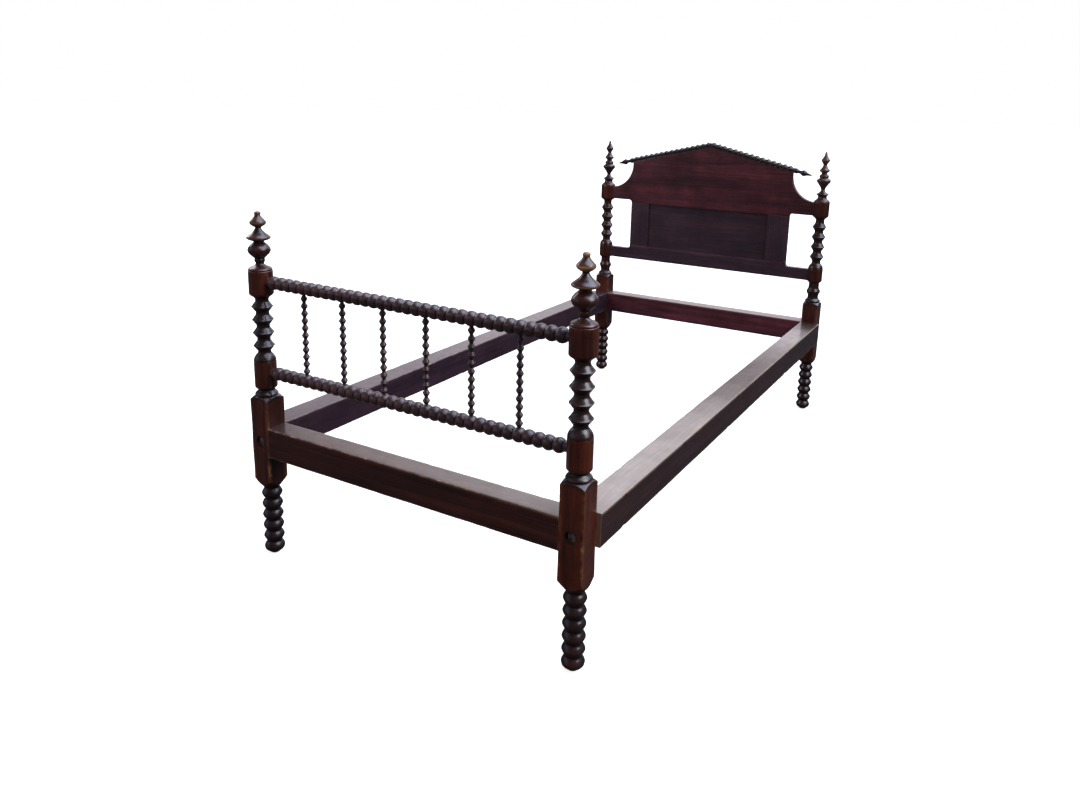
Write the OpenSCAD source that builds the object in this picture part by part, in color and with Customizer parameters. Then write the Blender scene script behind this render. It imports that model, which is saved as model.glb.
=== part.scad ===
// Spool-turned single bedstead: four turned posts, bobbin foot rails with bead spindles,
// a gabled panel headboard and a bolted rail frame. Millimetres, +Z up, +Y from foot to head.
// The origin is on the floor, in the middle of the bed.

/* [Bed] */
// Distance between the left and right post axes
post_span = 900; // [860:10:1000]
// Distance between the foot and head post axes
bed_length = 1900; // [1700:10:2100]
// Height of the top face of the four rails
rail_top = 358; // [345:1:370]
// Depth of the four rails, from top face to bottom face
rail_depth = 78; // [60:1:90]
// How far a side rail stands proud of the posts' outer faces
rail_proud = 11; // [0:1:20]

/* [Posts] */
// Side of the square block that the rails meet
block = 58; // [54:1:58]
// Diameter of the upper plain drum on every post
upper_drum_d = 59; // [56:1:59]
// Diameter of the lower plain drum on every post
lower_drum_d = 55; // [52:1:58]
// Diameter of the rings on the legs and spools
ring_d = 52; // [46:1:54]
// Diameter of the necks between the leg rings
leg_neck_d = 37; // [32:1:42]
// Diameter of the necks between the spool rings
spool_neck_d = 32; // [26:1:36]
// Height of one leg ring
leg_pitch = 30.2; // [28:0.2:30.2]

/* [Foot end] */
// Diameter of the beads on the two foot rails
bobbin_d = 34; // [32:1:36]
// Diameter of the beads on the spindles
bead_d = 17; // [15:0.5:18]
// Distance between neighbouring spindles, which is five rail beads
spindle_pitch = 122; // [110:1:126]

/* [Headboard] */
// Thickness of the gable board, the stiles and the lower board
board_t = 22; // [20:1:26]
// Thickness of the panel
panel_t = 8; // [6:1:10]
// Diameter of the rings on the gable trim
trim_d = 28; // [25:1:30]

/* [Hidden] */
$fn = 48;
half_x = post_span / 2;
half_y = bed_length / 2;
half_b = block / 2;
rail_bottom = rail_top - rail_depth;
rail_mid = rail_top - rail_depth / 2;

// Turned post heights, floor up, shared by all four posts
leg_rings = 6;
foot_ring_z = 19;
block_cone_z = 186;      // the square begins to grow out of the leg's neck
block_low = 214;         // the square is full above this height
block_high = 427;        // and up to this height
pommel_top = 438;
block_corner_r = block * sqrt(2) / 2 + 0.5; // clear of the square stock's corners
pommel_ring_z = 441;

// Foot posts: lower drum, spool and upper drum
foot_low_drum = [460, 528];
foot_spool_z = 567;
foot_spool_pitch = 33.3;
foot_up_drum = [698, 758];
// Head posts: a second ring under the lower drum, and a longer spool
head_extra_ring_z = 478;
head_low_drum = [519, 568];
head_spool_z = 613.5;
head_spool_pitch = 38.2;
head_up_drum = [768, 826];
spool_rings = 4;

// Turned rails and spindles of the foot end
top_rail_z = 731;
low_rail_z = 499;
bobbin_pitch = spindle_pitch / 5;
bobbins = 2 * floor((half_x - upper_drum_d / 2) / bobbin_pitch);
bobbin_neck_d = bobbin_d - 11;
spindles = 6;
spindle_beads = 11;
bead_neck_d = 8;
dowel_d = 20;            // tenon on each end of a turned rail
dowel_l = 20;
pin_l = 8;               // how far a spindle's end is let into a rail
fit_gap = 0.1;           // play between a round tenon and its socket, on the diameter

// Finials turn on a dowel that is let into the post
finial_dowel_d = 18;
finial_dowel_l = 30;

// Headboard, in the plane of the head post axes
ear_top = 820;
ear_low = 770;
shoulder_x = half_x - 117; // outer end of the gable board's sloping edge
shoulder_r = 97;         // concave corner between the sloping edge and the ear
stile_out = shoulder_x;
stile_in = stile_out - 80;
panel_low = 576;
panel_high = 758;
low_ear_top = 563;
low_board_bottom = 519;
opening_r = 12;          // rounded corners of the openings beside the stiles
ear_depth = 22;          // how far an ear is let into a drum
groove = 8;              // how far the panel is let into the frame
stile_tenon = 18;
stile_tenon_t = 10;

// Gable trim: two ringed rods that meet at the ridge
ridge_z = 1014;          // where the rods' axes cross
tip_x = half_x - 45;
tip_z = 919;
trim_slope = atan((ridge_z - tip_z) / tip_x);
trim_len = tip_x / cos(trim_slope);
trim_pitch = 22.8;
trim_end = 73;           // the pointed bead beyond the last ring
trim_rings = floor((trim_len - trim_end) / trim_pitch);
trim_flat = 7;           // from the rod's axis to the flat that sits on the board
trim_neck_d = 16;

// Rail joinery and bed bolts
rail_tenon_t = 20;
rail_tenon_l = 18;
rail_tenon_h = 50;
bolt_d = 10;
bolt_hole_d = 11;
bolt_head = 17;          // across the flats of the square head
bolt_head_t = 8;
bolt_bore_d = 26;        // counterbore for the wrench
bolt_bore_l = 14;
bolt_reach = 75;         // from the rail's end to the nut's centre
nut_w = 22;
nut_t = 10;

mahogany = [0.22, 0.09, 0.07];
mahogany_dark = [0.15, 0.07, 0.06];
iron = [0.16, 0.15, 0.15];

// ---------- turned profiles, as lists of [radius, height] ----------

// A rounded ring centred at height z: a neck, a full round edge and a neck
function round_ring(z, h, neck_r, edge_r) = [
    for (i = [0 : 8])
        let (t = i / 8, s = sin(180 * t))
            [neck_r + (edge_r - neck_r) * pow(s, 0.8), z + h * (t - 0.5)]
];

// A sharper ring: straight flanks between a short neck and a narrow edge
function sharp_ring(z, h, neck_r, edge_r) = [
    [neck_r, z - 0.46 * h], [neck_r + 1, z - 0.36 * h], [edge_r - 1.5, z - 0.07 * h],
    [edge_r, z], [edge_r - 1, z + 0.08 * h], [neck_r + 1.5, z + 0.40 * h],
    [neck_r, z + 0.50 * h]
];

// A plain drum from z[0] to z[1], with a chamfer below, and a groove and a cushion above
function drum(z, r, below_r, above_r) = [
    [below_r, z[0] - 8], [r - 5, z[0] - 4], [r, z[0] + 2],
    [r, z[1] - 1], [r - 1.2, z[1]], [r - 0.2, z[1] + 1.2], [r - 1.5, z[1] + 7],
    [r - 5, z[1] + 13], [above_r + 2.5, z[1] + 18], [above_r, z[1] + 22]
];

function leg_profile() = concat(
    [[0, 0], [12.5, 0], [13.5, 3], [19, 6.5], [24, 11]],
    [for (p = round_ring(foot_ring_z, leg_pitch, leg_neck_d / 2, ring_d / 2)) if (p[1] > 14) p],
    [for (k = [1 : leg_rings - 1])
        for (p = round_ring(foot_ring_z + k * leg_pitch, leg_pitch, leg_neck_d / 2, ring_d / 2))
            if (p[1] > foot_ring_z + (k - 0.5) * leg_pitch + 0.1) p],
    [[leg_neck_d / 2, block_cone_z]]
);

function block_profile() = [
    [block_corner_r, block_low], [block_corner_r, block_high],
    [half_b + 5.5, 431.5], [half_b + 0.5, 435.5], [half_b - 3, 437.5], [half_b - 3, pommel_top],
    [half_b - 1, pommel_ring_z - 1], [half_b - 1, pommel_ring_z + 1], [24, 446], [20.5, 450.5]
];

function spool(z, pitch) = [
    for (k = [0 : spool_rings - 1])
        for (p = sharp_ring(z + k * pitch, pitch, spool_neck_d / 2, ring_d / 2)) p
];

function foot_post_profile() = concat(
    leg_profile(), block_profile(),
    drum(foot_low_drum, lower_drum_d / 2, 20, spool_neck_d / 2),
    spool(foot_spool_z, foot_spool_pitch),
    [[spool_neck_d / 2, foot_up_drum[0] - 13], [upper_drum_d / 2 - 2, foot_up_drum[0]],
     [upper_drum_d / 2, foot_up_drum[0] + 4], [upper_drum_d / 2, foot_up_drum[1] - 2],
     [upper_drum_d / 2 - 1, foot_up_drum[1]], [0, foot_up_drum[1]]]
);

function head_post_profile() = concat(
    leg_profile(), block_profile(),
    [[19.5, 458], [20.5, 465], [24, 472], [ring_d / 2 - 1, head_extra_ring_z],
     [24, head_extra_ring_z + 5], [19.5, 490]],
    drum(head_low_drum, lower_drum_d / 2, 19, spool_neck_d / 2),
    spool(head_spool_z, head_spool_pitch),
    [[spool_neck_d / 2, head_up_drum[0] - 18], [upper_drum_d / 2 - 2, head_up_drum[0] - 3],
     [upper_drum_d / 2, head_up_drum[0] + 2], [upper_drum_d / 2, head_up_drum[1] - 2],
     [upper_drum_d / 2 - 1, head_up_drum[1]], [0, head_up_drum[1]]]
);

// Foot finial: shoulder, neck, urn, broad sharp disc, narrow disc and knob
foot_finial_profile = [
    [0, 0], [28, 0], [28.5, 3], [26.5, 6], [21, 9], [15, 12], [11, 15], [10, 18],
    [12, 21.5], [12.5, 24], [12.5, 27], [12, 29], [15.5, 33], [21, 38], [25, 43.5], [27, 49],
    [26.5, 55], [23, 60.5], [18, 65.5], [13, 70], [12.5, 71], [20.5, 74.5], [25.5, 77],
    [28, 79.5], [28.5, 81], [27.5, 83.5], [22.5, 87.5], [16, 92.5], [10.5, 98], [7, 105],
    [12.5, 109], [17, 112.5], [19.5, 116], [19.5, 119], [17.5, 122], [13.5, 126],
    [10, 130.5], [7, 136], [8, 139.5], [7.5, 142], [5, 144.5], [0, 144.5]
];

// Head finial: collar, sharp disc, thin neck, urn, bead, thin neck and pointed acorn
head_finial_profile = [
    [0, 0], [26, 0], [27, 2], [20, 8], [16.5, 12], [16.5, 20], [21, 24], [23, 26.5],
    [18, 30], [9, 36], [7.5, 42], [8, 47], [13, 57], [22, 69], [25.5, 76], [24, 82],
    [17, 87], [16, 90], [17.5, 94], [16, 98], [10, 103], [10, 106], [16, 111],
    [18.5, 115], [16, 120], [9, 129], [7, 136], [8, 141], [13, 147], [15.5, 152],
    [13, 158], [8, 166], [4.5, 175], [3, 182], [0, 186]
];

module turned(points) {
    rotate_extrude($fn = 64)
        polygon(points);
}

// ---------- posts ----------

module square_stock(h) {
    translate([-half_b, -half_b, 0])
        cube([block, block, h]);
}

// The lathe work: the square block stays square, all the rest is round
module turned_post(points, total) {
    intersection() {
        turned(points);
        union() {
            cylinder(h = block_cone_z + 5, d = 2 * block);
            square_stock(pommel_top - 1);
            translate([0, 0, pommel_top - 1])
                cylinder(h = total, d = 2 * block);
        }
    }
}

// Cut for a stub tenon that enters along +x
module rail_mortise() {
    translate([half_b - rail_tenon_l, -rail_tenon_t / 2, rail_mid - rail_tenon_h / 2])
        cube([rail_tenon_l + 1, rail_tenon_t, rail_tenon_h]);
}

// Bolt hole along y: through the block, with a counterbore on the outer face at -y
module bolt_hole() {
    translate([0, -block, rail_mid])
        rotate([-90, 0, 0]) {
            cylinder(h = 2 * block, d = bolt_hole_d);
            cylinder(h = half_b + bolt_bore_l, d = bolt_bore_d);
        }
}

module finial_socket(top) {
    translate([0, 0, top - finial_dowel_l])
        cylinder(h = finial_dowel_l + 1, d = finial_dowel_d);
}

// Socket for a round tenon that enters along +x at height z, in a drum of diameter d
module dowel_socket(z, d) {
    translate([d / 2 - dowel_l, 0, z])
        rotate([0, 90, 0])
            cylinder(h = dowel_l + 1, d = dowel_d);
}

// The left foot post, at its own axis; the right one is its mirror image
module foot_post() {
    difference() {
        turned_post(foot_post_profile(), foot_up_drum[1]);
        rail_mortise();
        rotate([0, 0, 90]) rail_mortise();
        bolt_hole();
        finial_socket(foot_up_drum[1]);
        dowel_socket(top_rail_z, upper_drum_d);
        dowel_socket(low_rail_z, lower_drum_d);
    }
}

// The left head post, at its own axis, with its outer face at -y
module head_post() {
    difference() {
        turned_post(head_post_profile(), head_up_drum[1]);
        rail_mortise();
        rotate([0, 0, 90]) rail_mortise();
        bolt_hole();
        finial_socket(head_up_drum[1]);
        ear_cut(ear_low, ear_top, upper_drum_d);
        ear_cut(low_board_bottom, low_ear_top, lower_drum_d);
    }
}

// Housing for a headboard ear between two heights
module ear_cut(low, high, d) {
    translate([d / 2 - ear_depth, -board_t / 2, low])
        cube([ear_depth + 1, board_t, high - low]);
}

// side is -1 for the left of the bed and 1 for the right
module at_foot(side) {
    translate([side * half_x, -half_y, 0])
        mirror([side > 0 ? 1 : 0, 0, 0])
            children();
}

module at_head(side) {
    translate([side * half_x, half_y, 0])
        mirror([side > 0 ? 1 : 0, 0, 0])
            mirror([0, 1, 0])
                children();
}

module foot_post_at(side) {
    color(mahogany) at_foot(side) foot_post();
}

module head_post_at(side) {
    color(mahogany) at_head(side) head_post();
}

module finial(points, top) {
    translate([0, 0, top]) {
        turned(points);
        translate([0, 0, -finial_dowel_l])
            cylinder(h = finial_dowel_l + 1, d = finial_dowel_d - fit_gap);
    }
}

module foot_finial(side) {
    color(mahogany_dark) at_foot(side) finial(foot_finial_profile, foot_up_drum[1]);
}

module head_finial(side) {
    color(mahogany_dark) at_head(side) finial(head_finial_profile, head_up_drum[1]);
}

// ---------- foot end ----------

// A round rail of equal beads along x, scribed to the drums, with a dowel at each end
module bobbin_rail(z, drum_d) {
    reach = half_x - drum_d / 2;
    neck_r = bobbin_neck_d / 2;
    beads_half = bobbins / 2 * bobbin_pitch;
    profile = concat(
        [[0, -reach - 4], [neck_r, -reach - 4], [neck_r, -beads_half]],
        [for (k = [0 : bobbins - 1], p = rail_bead(k, neck_r)) p],
        [[neck_r, reach + 4], [0, reach + 4]]
    );
    translate([0, -half_y, z]) {
        difference() {
            rotate([0, 90, 0])
                turned(profile);
            for (x = [-half_x, half_x])
                translate([x, 0, -bobbin_d])
                    cylinder(h = 2 * bobbin_d, d = drum_d, $fn = 64);
        }
        for (a = [-90, 90])
            rotate([0, a, 0])
                translate([0, 0, reach - 2])
                    cylinder(h = dowel_l + 1.5, d = dowel_d - fit_gap);
    }
}

// Bead k of a bobbin rail, without its first point, which the bead before it has
function rail_bead(k, neck_r) =
    let (bead = round_ring((k - bobbins / 2 + 0.5) * bobbin_pitch, bobbin_pitch, neck_r,
                           bobbin_d / 2))
        [for (i = [1 : len(bead) - 1]) bead[i]];

function spindle_x(i) = (i - (spindles - 1) / 2) * spindle_pitch;
spindle_low = low_rail_z + bobbin_d / 2;
spindle_high = top_rail_z - bobbin_d / 2;

// Holes for all the spindles' ends, in either foot rail
module spindle_holes() {
    for (i = [0 : spindles - 1])
        translate([spindle_x(i), -half_y, spindle_low - pin_l])
            cylinder(h = spindle_high - spindle_low + 2 * pin_l, d = bead_neck_d);
}

module foot_rail(z, drum_d) {
    color(mahogany_dark)
        difference() {
            bobbin_rail(z, drum_d);
            spindle_holes();
        }
}

// A slim spindle of double-cone beads; its plain ends stand in the two rails
module spindle(i) {
    work = spindle_high - spindle_low - 1;
    pitch = work / spindle_beads;
    neck_r = bead_neck_d / 2;
    profile = concat(
        [[0, -pin_l - 0.5], [neck_r - fit_gap / 2, -pin_l - 0.5], [neck_r - fit_gap / 2, 0]],
        [for (k = [0 : spindle_beads - 1], p = cone_bead((k + 0.5) * pitch, pitch, neck_r)) p],
        [[neck_r - fit_gap / 2, work], [neck_r - fit_gap / 2, work + pin_l + 0.5],
         [0, work + pin_l + 0.5]]
    );
    color(mahogany_dark)
        translate([spindle_x(i), -half_y, spindle_low + 0.5])
            turned(profile);
}

function cone_bead(z, h, neck_r) = [
    [neck_r, z - 0.42 * h], [bead_d / 2 - 0.6, z - 0.08 * h],
    [bead_d / 2 - 0.6, z + 0.08 * h], [neck_r, z + 0.42 * h]
];

// ---------- rail frame ----------

rail_inner = half_x - half_b;
rail_outer = half_x + half_b + rail_proud;
rail_reach = half_y - half_b;

module rail_tenon_x(x, y) {
    translate([x, y - rail_tenon_t / 2, rail_mid - rail_tenon_h / 2])
        cube([rail_tenon_l, rail_tenon_t, rail_tenon_h]);
}

// An end rail fills the posts' full thickness and is tenoned into both
module end_rail(y) {
    color(mahogany) {
        translate([-rail_inner, y - half_b, rail_bottom])
            cube([2 * rail_inner, block, rail_depth]);
        rail_tenon_x(rail_inner, y);
        rail_tenon_x(-rail_inner - rail_tenon_l, y);
    }
}

// Everything at one bolt, drawn at the left foot post's axis: bolt along +y
bolt_end = half_b + bolt_reach + nut_t / 2 + 4;

module bolt_way() {
    translate([0, half_b - rail_tenon_l - 1, rail_mid])
        rotate([-90, 0, 0])
            cylinder(h = bolt_reach + rail_tenon_l + 16, d = bolt_hole_d);
    translate([-nut_w / 2 - 0.5, half_b + bolt_reach - nut_t / 2, rail_bottom - 1])
        cube([nut_w + 1, nut_t, rail_mid + nut_w / 2 - rail_bottom + 1]);
}

module bolt() {
    color(iron)
        translate([0, -half_b + bolt_bore_l, rail_mid])
            rotate([-90, 0, 0]) {
                cylinder(h = bolt_end + half_b - bolt_bore_l, d = bolt_d);
                translate([-bolt_head / 2, -bolt_head / 2, -bolt_head_t])
                    cube([bolt_head, bolt_head, bolt_head_t + 0.01]);
            }
}

module bolt_nut() {
    color(iron)
        translate([0, half_b + bolt_reach, rail_mid])
            rotate([-90, 0, 0])
                difference() {
                    translate([-nut_w / 2, -nut_w / 2, -nut_t / 2])
                        cube([nut_w, nut_w, nut_t]);
                    translate([0, 0, -nut_t])
                        cylinder(h = 2 * nut_t, d = bolt_d + fit_gap);
                }
}

// A side rail butts against the posts, stands proud outside and is held by a bolt at each end
module side_rail(side) {
    color(mahogany)
        difference() {
            union() {
                translate([side > 0 ? rail_inner : -rail_outer, -rail_reach, rail_bottom])
                    cube([rail_outer - rail_inner, 2 * rail_reach, rail_depth]);
                translate([side * half_x - rail_tenon_t / 2, -rail_reach - rail_tenon_l,
                           rail_mid - rail_tenon_h / 2])
                    cube([rail_tenon_t, 2 * (rail_reach + rail_tenon_l), rail_tenon_h]);
            }
            at_foot(side) bolt_way();
            at_head(side) bolt_way();
        }
}

// ---------- headboard ----------

module board(t) {
    translate([0, half_y + t / 2, 0])
        rotate([90, 0, 0])
            linear_extrude(t)
                children();
}

module both_sides() {
    children();
    mirror([1, 0]) children();
}

// A concave fillet of radius opening_r that fills the corner at [x, z]
module fillet(x, z, up) {
    difference() {
        translate([x, up > 0 ? z : z - opening_r])
            square(opening_r);
        translate([x + opening_r, z + up * opening_r])
            circle(opening_r);
    }
}

upper_ear_x = half_x - upper_drum_d / 2 + ear_depth;
lower_ear_x = half_x - lower_drum_d / 2 + ear_depth;

// Height of the gable board's sloping edge at x
function slope_z(x) = ridge_z - trim_flat / cos(trim_slope) - x * tan(trim_slope);

module gable_outline() {
    both_sides()
        difference() {
            polygon([[0, panel_high], [stile_out, panel_high], [stile_out, ear_low],
                     [upper_ear_x, ear_low], [upper_ear_x, ear_top],
                     [shoulder_x + shoulder_r, ear_top],
                     [shoulder_x + shoulder_r, ear_top + shoulder_r],
                     [shoulder_x, ear_top + shoulder_r], [shoulder_x, slope_z(shoulder_x)],
                     [0, slope_z(0)]]);
            translate([shoulder_x + shoulder_r, ear_top + shoulder_r])
                circle(shoulder_r, $fn = 96);
        }
    both_sides() fillet(stile_out, ear_low, -1);
}

module lower_outline() {
    both_sides() {
        polygon([[0, low_board_bottom], [lower_ear_x, low_board_bottom],
                 [lower_ear_x, low_ear_top], [stile_out, low_ear_top],
                 [stile_out, panel_low], [0, panel_low]]);
        fillet(stile_out, low_ear_top, 1);
    }
}

// The stiles' tenons, longer than the stiles at both ends
module stile_tenon_outline() {
    both_sides()
        translate([stile_in + 14, panel_low - stile_tenon])
            square([stile_out - stile_in - 28, panel_high - panel_low + 2 * stile_tenon]);
}

module panel_outline() {
    translate([-stile_in - groove, panel_low - groove])
        square([2 * (stile_in + groove), panel_high - panel_low + 2 * groove]);
}

module gable_board() {
    color(mahogany)
        difference() {
            board(board_t) gable_outline();
            board(panel_t) panel_outline();
            board(stile_tenon_t) stile_tenon_outline();
        }
}

module lower_board() {
    color(mahogany)
        difference() {
            board(board_t) lower_outline();
            board(panel_t) panel_outline();
            board(stile_tenon_t) stile_tenon_outline();
        }
}

module stile(side) {
    color(mahogany)
        intersection() {
            difference() {
                union() {
                    board(board_t)
                        both_sides()
                            translate([stile_in, panel_low])
                                square([stile_out - stile_in, panel_high - panel_low]);
                    board(stile_tenon_t) stile_tenon_outline();
                }
                board(panel_t) panel_outline();
            }
            translate([side > 0 ? 0 : -half_x, half_y - half_b, 0])
                cube([half_x, block, ridge_z]);
        }
}

module headboard_panel() {
    color(mahogany_dark)
        board(panel_t) panel_outline();
}

// Profile of a trim rod from the ridge outwards: rings, a free ring and a pointed bead
trim_r = trim_d / 2;
trim_neck_r = trim_neck_d / 2;
trim_work = trim_rings * trim_pitch;
trim_profile = concat(
    [[0, -trim_d], [trim_neck_r, -trim_d], [trim_neck_r, 0]],
    [for (k = [0 : trim_rings - 1], p = trim_ring((k + 0.5) * trim_pitch, trim_r)) p],
    trim_ring(trim_work + 0.5 * trim_pitch, trim_r - 3),
    [[6, trim_work + 26], [trim_r - 2, trim_work + 41], [trim_r - 2, trim_work + 43],
     [4, trim_work + 60], [2, trim_len], [0, trim_len]]
);

function trim_ring(z, r) = [
    [trim_neck_r, z - 0.4 * trim_pitch], [r - 1, z - 0.1 * trim_pitch],
    [r, z], [r - 1, z + 0.1 * trim_pitch], [trim_neck_r, z + 0.4 * trim_pitch]
];

module gable_trim(side) {
    color(mahogany_dark)
        intersection() {
            translate([0, half_y, ridge_z])
                mirror([side > 0 ? 0 : 1, 0, 0])
                    rotate([0, 90 + trim_slope, 0])
                        difference() {
                            turned(trim_profile);
                            translate([trim_flat, -trim_d, -trim_d])
                                cube([trim_d, 2 * trim_d, trim_work + trim_d + 2]);
                        }
            translate([side > 0 ? 0 : -half_x, half_y - half_b, 0])
                cube([half_x, block, 2 * ridge_z]);
        }
}

foot_post_at(-1);  // foot_post_left
foot_post_at(1);  // foot_post_right
head_post_at(-1);  // head_post_left
head_post_at(1);  // head_post_right
foot_finial(-1);  // foot_finial_left
foot_finial(1);  // foot_finial_right
head_finial(-1);  // head_finial_left
head_finial(1);  // head_finial_right
foot_rail(top_rail_z, upper_drum_d);  // foot_top_rail
foot_rail(low_rail_z, lower_drum_d);  // foot_lower_rail
spindle(0);  // spindle_1
spindle(1);  // spindle_2
spindle(2);  // spindle_3
spindle(3);  // spindle_4
spindle(4);  // spindle_5
spindle(5);  // spindle_6
end_rail(-half_y);  // foot_end_rail
end_rail(half_y);  // head_end_rail
side_rail(-1);  // side_rail_left
side_rail(1);  // side_rail_right
gable_board();
stile(-1);  // stile_left
stile(1);  // stile_right
lower_board();
headboard_panel();
gable_trim(-1);  // gable_trim_left
gable_trim(1);  // gable_trim_right
at_foot(-1) bolt();  // bed_bolt_foot_left
at_foot(1) bolt();  // bed_bolt_foot_right
at_head(-1) bolt();  // bed_bolt_head_left
at_head(1) bolt();  // bed_bolt_head_right
at_foot(-1) bolt_nut();  // bolt_nut_foot_left
at_foot(1) bolt_nut();  // bolt_nut_foot_right
at_head(-1) bolt_nut();  // bolt_nut_head_left
at_head(1) bolt_nut();  // bolt_nut_head_right
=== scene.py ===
import math

import bmesh
import bpy
import numpy as np
from mathutils import Matrix, Vector, noise


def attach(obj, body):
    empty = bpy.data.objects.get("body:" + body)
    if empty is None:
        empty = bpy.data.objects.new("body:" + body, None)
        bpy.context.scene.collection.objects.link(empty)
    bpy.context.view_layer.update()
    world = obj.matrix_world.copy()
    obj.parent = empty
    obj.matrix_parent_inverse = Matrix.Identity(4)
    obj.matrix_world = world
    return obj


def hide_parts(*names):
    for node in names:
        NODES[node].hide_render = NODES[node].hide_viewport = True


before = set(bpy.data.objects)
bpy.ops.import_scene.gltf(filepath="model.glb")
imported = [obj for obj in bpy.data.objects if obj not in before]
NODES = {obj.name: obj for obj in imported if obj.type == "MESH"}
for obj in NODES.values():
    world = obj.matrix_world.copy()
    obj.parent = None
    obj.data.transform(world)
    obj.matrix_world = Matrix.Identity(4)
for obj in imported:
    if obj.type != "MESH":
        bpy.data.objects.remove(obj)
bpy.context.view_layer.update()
MM = 0.001

# -------- dimensions, in millimetres

HALF_X, HALF_Y = 450.0, 950.0          # post axes
HALF_B = 29.0                          # half the square block
RAIL_TOP, RAIL_BOTTOM = 358.0, 280.0
RAIL_OUT = 490.0                       # outer face of a side rail
RAIL_IN = HALF_X - HALF_B
BOLT_Z = (RAIL_TOP + RAIL_BOTTOM) / 2
LEG_PITCH = 30.2
TOP_RAIL_Z, LOW_RAIL_Z = 731.0, 499.0
BOBBIN_PITCH, BOBBINS = 24.4, 34
BOBBIN_R, BOBBIN_NECK_R = 17.0, 11.0
SPINDLE_PITCH, SPINDLES = 122.0, 6
SPINDLE_R, SPINDLE_NECK_R, SPINDLE_BEADS = 8.5, 4.0, 11
SPINDLE_SEAT = 16.2                    # from a bobbin rail's axis to the spindle's first bead
SPINDLE_PIN = 4.0                      # length of the pin that enters the bobbin rail
FOOT_TOP, HEAD_TOP = 758.0, 826.0      # where the finials stand on the posts
BLOCK_SPAN = (186.5, 437.9)            # heights between which the posts stay square
UPPER_DRUM_R, LOWER_DRUM_R = 29.5, 27.5
RAIL_DOWEL = 3.0                       # how far the bobbin rails' dowels enter the posts
COUNTERBORE_R, COUNTERBORE_DEPTH = 13.0, 14.0
BOARD_Y = (HALF_Y - 11.0, HALF_Y + 11.0)
PANEL_Y = (HALF_Y - 4.0, HALF_Y + 4.0)
PANEL_GROOVE = 8.0                     # how deep the panel's edges sit in their grooves
STILE_IN, STILE_OUT = 253.0, 333.0
LOWER_BOARD_TOP, GABLE_BOTTOM = 576.0, 758.0
RIDGE_Z = 1014.0                       # the trim rods' axes meet here
EAVE_X, EAVE_Z = 405.0, 919.0          # and pass through here
SLOPE = math.atan((RIDGE_Z - EAVE_Z) / EAVE_X)
TRIM_TUCK = 5.4                        # the gable's edge lies this far under the rod's axis
TRIM_PITCH, TRIM_RINGS = 22.8, 15
TRIM_R, TRIM_NECK_R = 14.0, 8.0
TURNED_ANGLE, SAWN_ANGLE, BOARD_ANGLE = 44, 50, 40   # edges sharper than this stay sharp


# -------- small tools

def random_for(name):
    """A generator of random numbers that depends only on the piece's name."""
    seed = 7
    for letter in name:
        seed = (seed * 131 + ord(letter)) % 2147483647
    return np.random.default_rng(seed)


def smooth_step(a, b, x):
    t = np.clip((x - a) / (b - a), 0.0, 1.0)
    return t * t * (3 - 2 * t)


def write_attribute(mesh, name, values):
    """One float, or one vector of three, for each vertex."""
    values = np.asarray(values, dtype=np.float32)
    kind = "FLOAT" if values.ndim == 1 else "FLOAT_VECTOR"
    attribute = mesh.attributes.new(name, kind, "POINT")
    attribute.data.foreach_set("value" if values.ndim == 1 else "vector", values.ravel())


def make_mesh(name, points, faces):
    """points in millimetres, in the row frame."""
    mesh = bpy.data.meshes.new(name)
    mesh.from_pydata([tuple(p) for p in np.asarray(points) * MM], [], faces)
    mesh.update()
    return mesh


def add_piece(name, mesh, material, slot, *replaced):
    piece = bpy.data.objects.new(name, mesh)
    bpy.context.scene.collection.objects.link(piece)
    mesh.materials.append(material)
    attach(piece, "root")
    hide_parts(*replaced)
    return piece


def soften(mesh, angle):
    """Smooth shading, with edges sharper than the angle left sharp."""
    mesh.polygons.foreach_set("use_smooth", [True] * len(mesh.polygons))
    bm = bmesh.new()
    bm.from_mesh(mesh)
    limit = math.radians(angle)
    for edge in bm.edges:
        edge.smooth = len(edge.link_faces) == 2 and edge.calc_face_angle(0.0) < limit
    bm.to_mesh(mesh)
    bm.free()


# -------- turned profiles
# A profile is a list of (radius, height). Corners stay where they are; catmull() rounds a run.

def catmull(points, step=1.0):
    """A smooth curve through the points, with a point about every step millimetres."""
    pts = [np.array(p, float) for p in points]
    pts = [2 * pts[0] - pts[1]] + pts + [2 * pts[-1] - pts[-2]]
    out = []
    for i in range(1, len(pts) - 2):
        p0, p1, p2, p3 = pts[i - 1:i + 3]
        length = np.linalg.norm(p2 - p1)
        count = max(2, int(math.ceil(length / step)))
        for k in range(count):
            t = k / count
            out.append(0.5 * (2 * p1 + (p2 - p0) * t + (2 * p0 - 5 * p1 + 4 * p2 - p3) * t * t
                              + (3 * p1 - p0 - 3 * p2 + p3) * t ** 3))
    out.append(pts[-2])
    return [tuple(p) for p in out]


def straight(points, step=3.0):
    """Straight runs between the points, cut into short pieces."""
    out = [points[0]]
    for a, b in zip(points[:-1], points[1:]):
        length = math.dist(a, b)
        count = max(1, int(math.ceil(length / step)))
        for k in range(1, count + 1):
            out.append((a[0] + (b[0] - a[0]) * k / count, a[1] + (b[1] - a[1]) * k / count))
    return out


def round_ring(z, pitch, neck, edge):
    """A leg ring: a lens with a rounded edge, and a tight groove between it and the next."""
    return catmull([(neck, z - pitch / 2), (neck + 0.7, z - 0.43 * pitch),
                    (neck + 0.55 * (edge - neck), z - 0.27 * pitch),
                    (edge - 1.3, z - 0.13 * pitch), (edge, z - 0.01 * pitch),
                    (edge - 1.2, z + 0.12 * pitch),
                    (neck + 0.55 * (edge - neck), z + 0.27 * pitch),
                    (neck + 0.7, z + 0.43 * pitch), (neck, z + pitch / 2)], 1.0)


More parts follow.
